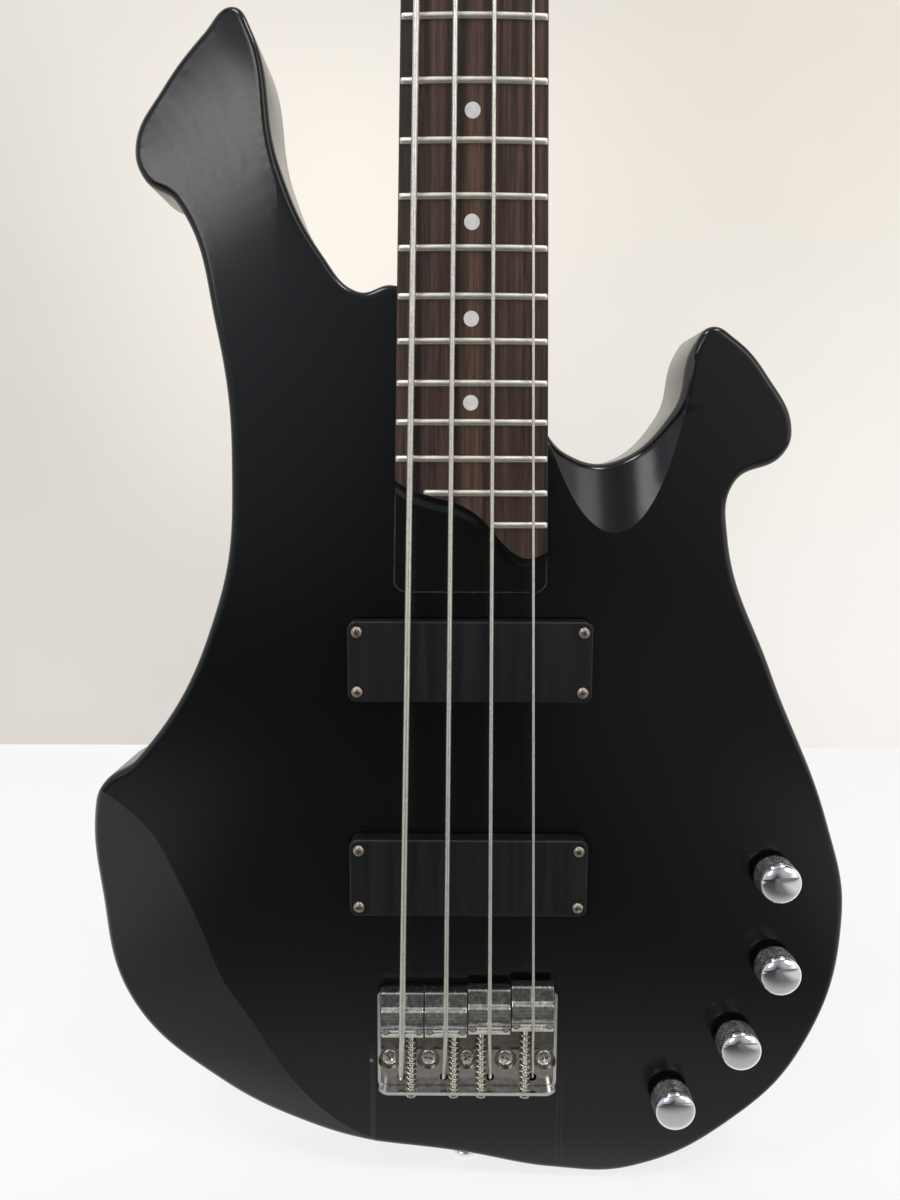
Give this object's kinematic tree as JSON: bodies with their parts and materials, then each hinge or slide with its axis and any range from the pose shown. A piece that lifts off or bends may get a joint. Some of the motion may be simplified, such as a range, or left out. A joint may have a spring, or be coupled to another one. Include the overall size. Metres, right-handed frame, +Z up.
{
  "type": "electric bass guitar",
  "caption": "Solid-body electric bass guitar with a long asymmetric body, bolt-on neck, curved fingerboard end, soapbar pickups, bridge and round knobs.",
  "frame": {"origin": "on the centre line, at the outer end of the tail strap button, in the middle of the body's thickness", "axes": "+Z up along the neck towards the headstock, the front with the strings faces -Y, +X towards the thin strings and the control knobs"},
  "size_m": [0.333, 0.0688, 1.1288],
  "materials": {
    "black_paint": "satin black lacquer over wood",
    "rosewood": "open grain, oiled, with nickel silver frets",
    "nut_black": "smooth, semi matte",
    "cover_plastic": "matte moulded plastic",
    "chrome": "polished chrome plate",
    "steel": "nickel plated steel",
    "string_steel": "round wound nickel steel",
    "circuit": "green solder mask",
    "battery": "painted can with two snap studs"
  },
  "bodies": {
    "instrument": {"body": "black_paint", "neck": "black_paint", "fingerboard": "rosewood", "nut": "nut_black", "truss_rod": "steel", "truss_rod_cover": "cover_plastic", "neck_plate": "chrome", "pickup_neck": "cover_plastic", "pickup_neck_screw_1": "steel", "pickup_neck_screw_2": "steel", "pickup_neck_screw_3": "steel", "pickup_neck_screw_4": "steel", "pickup_bridge": "cover_plastic", "pickup_bridge_screw_1": "steel", "pickup_bridge_screw_2": "steel", "pickup_bridge_screw_3": "steel", "pickup_bridge_screw_4": "steel", "bridge_plate": "chrome", "spring_e": "steel", "string_e": "string_steel", "tuner_case_e": "chrome", "spring_a": "steel", "string_a": "string_steel", "tuner_case_a": "chrome", "spring_d": "steel", "string_d": "string_steel", "tuner_case_d": "chrome", "spring_g": "steel", "string_g": "string_steel", "tuner_case_g": "chrome", "pot_1": "steel", "pot_2": "steel", "pot_3": "steel", "pot_4": "steel", "control_cover": "cover_plastic", "battery": "battery", "preamp_board": "circuit", "output_jack": "steel", "strap_button_tail": "chrome", "strap_button_horn": "chrome"},
    "knob_1": {"knob_1": "chrome"},
    "knob_2": {"knob_2": "chrome"},
    "knob_3": {"knob_3": "chrome"},
    "knob_4": {"knob_4": "chrome"},
    "saddle_e": {"saddle_e": "chrome"},
    "intonation_screw_e": {"intonation_screw_e": "steel"},
    "saddle_a": {"saddle_a": "chrome"},
    "intonation_screw_a": {"intonation_screw_a": "steel"},
    "saddle_d": {"saddle_d": "chrome"},
    "intonation_screw_d": {"intonation_screw_d": "steel"},
    "saddle_g": {"saddle_g": "chrome"},
    "intonation_screw_g": {"intonation_screw_g": "steel"},
    "tuner_key_e": {"tuner_key_e": "chrome"},
    "tuner_post_e": {"tuner_post_e": "chrome"},
    "tuner_key_a": {"tuner_key_a": "chrome"},
    "tuner_post_a": {"tuner_post_a": "chrome"},
    "tuner_key_d": {"tuner_key_d": "chrome"},
    "tuner_post_d": {"tuner_post_d": "chrome"},
    "tuner_key_g": {"tuner_key_g": "chrome"},
    "tuner_post_g": {"tuner_post_g": "chrome"}
  },
  "joints": [
    {"name": "knob_1_turn", "type": "hinge", "parent": "instrument", "child": "knob_1", "pos_m": [0.1319, -0.02, 0.1483], "axis": [0, -1, 0], "range_deg": [-150, 150]},
    {"name": "knob_2_turn", "type": "hinge", "parent": "instrument", "child": "knob_2", "pos_m": [0.134, -0.02, 0.1068], "axis": [0, -1, 0], "range_deg": [-150, 150]},
    {"name": "knob_3_turn", "type": "hinge", "parent": "instrument", "child": "knob_3", "pos_m": [0.1186, -0.02, 0.072], "axis": [0, -1, 0], "range_deg": [-150, 150]},
    {"name": "knob_4_turn", "type": "hinge", "parent": "instrument", "child": "knob_4", "pos_m": [0.0911, -0.02, 0.0436], "axis": [0, -1, 0], "range_deg": [-150, 150]},
    {"name": "saddle_e_slide", "type": "slide", "parent": "instrument", "child": "saddle_e", "axis": [0, 0, 1], "range_m": [-0.004, 0.004], "deforming": ["spring_e", "string_e"]},
    {"name": "intonation_screw_e_turn", "type": "hinge", "parent": "instrument", "child": "intonation_screw_e", "pos_m": [-0.0247, -0.0267, 0.0457], "axis": [0, 0, 1], "range_deg": [-2880, 2880]},
    {"name": "saddle_a_slide", "type": "slide", "parent": "instrument", "child": "saddle_a", "axis": [0, 0, 1], "range_m": [-0.004, 0.004], "deforming": ["spring_a", "string_a"]},
    {"name": "intonation_screw_a_turn", "type": "hinge", "parent": "instrument", "child": "intonation_screw_a", "pos_m": [-0.0059, -0.0267, 0.0457], "axis": [0, 0, 1], "range_deg": [-2880, 2880]},
    {"name": "saddle_d_slide", "type": "slide", "parent": "instrument", "child": "saddle_d", "axis": [0, 0, 1], "range_m": [-0.004, 0.004], "deforming": ["spring_d", "string_d"]},
    {"name": "intonation_screw_d_turn", "type": "hinge", "parent": "instrument", "child": "intonation_screw_d", "pos_m": [0.0061, -0.0267, 0.0457], "axis": [0, 0, 1], "range_deg": [-2880, 2880]},
    {"name": "saddle_g_slide", "type": "slide", "parent": "instrument", "child": "saddle_g", "axis": [0, 0, 1], "range_m": [-0.004, 0.004], "deforming": ["spring_g", "string_g"]},
    {"name": "intonation_screw_g_turn", "type": "hinge", "parent": "instrument", "child": "intonation_screw_g", "pos_m": [0.0254, -0.0267, 0.0457], "axis": [0, 0, 1], "range_deg": [-2880, 2880]},
    {"name": "tuner_key_e_turn", "type": "hinge", "parent": "instrument", "child": "tuner_key_e", "pos_m": [-0.04014, 0.00958, 1.00921], "axis": [-1, 0, 0], "continuous": true},
    {"name": "tuner_post_e_turn", "type": "hinge", "parent": "instrument", "child": "tuner_post_e", "pos_m": [-0.0225, -0.01347, 1.00261], "axis": [0, -0.9848, 0.1736], "continuous": true},
    {"name": "tuner_key_a_turn", "type": "hinge", "parent": "instrument", "child": "tuner_key_a", "pos_m": [-0.03603, 0.01999, 1.0683], "axis": [-1, 0, 0], "continuous": true},
    {"name": "tuner_post_a_turn", "type": "hinge", "parent": "instrument", "child": "tuner_post_a", "pos_m": [-0.0195, -0.00305, 1.0617], "axis": [0, -0.9848, 0.1736], "continuous": true},
    {"name": "tuner_key_d_turn", "type": "hinge", "parent": "instrument", "child": "tuner_key_d", "pos_m": [0.03603, 0.01999, 1.0683], "axis": [1, 0, 0], "continuous": true},
    {"name": "tuner_post_d_turn", "type": "hinge", "parent": "instrument", "child": "tuner_post_d", "pos_m": [0.0195, -0.00305, 1.0617], "axis": [0, -0.9848, 0.1736], "continuous": true},
    {"name": "tuner_key_g_turn", "type": "hinge", "parent": "instrument", "child": "tuner_key_g", "pos_m": [0.04014, 0.00958, 1.00921], "axis": [1, 0, 0], "continuous": true},
    {"name": "tuner_post_g_turn", "type": "hinge", "parent": "instrument", "child": "tuner_post_g", "pos_m": [0.0225, -0.01347, 1.00261], "axis": [0, -0.9848, 0.1736], "continuous": true}
  ],
  "couplings": [
    {"joint": "intonation_screw_e_turn", "follows": "saddle_e_slide", "rad_per_m": 12566},
    {"joint": "intonation_screw_a_turn", "follows": "saddle_a_slide", "rad_per_m": 12566},
    {"joint": "intonation_screw_d_turn", "follows": "saddle_d_slide", "rad_per_m": 12566},
    {"joint": "intonation_screw_g_turn", "follows": "saddle_g_slide", "rad_per_m": 12566},
    {"joint": "tuner_post_e_turn", "follows": "tuner_key_e_turn", "ratio": -0.05},
    {"joint": "tuner_post_a_turn", "follows": "tuner_key_a_turn", "ratio": -0.05},
    {"joint": "tuner_post_d_turn", "follows": "tuner_key_d_turn", "ratio": 0.05},
    {"joint": "tuner_post_g_turn", "follows": "tuner_key_g_turn", "ratio": 0.05}
  ]
}
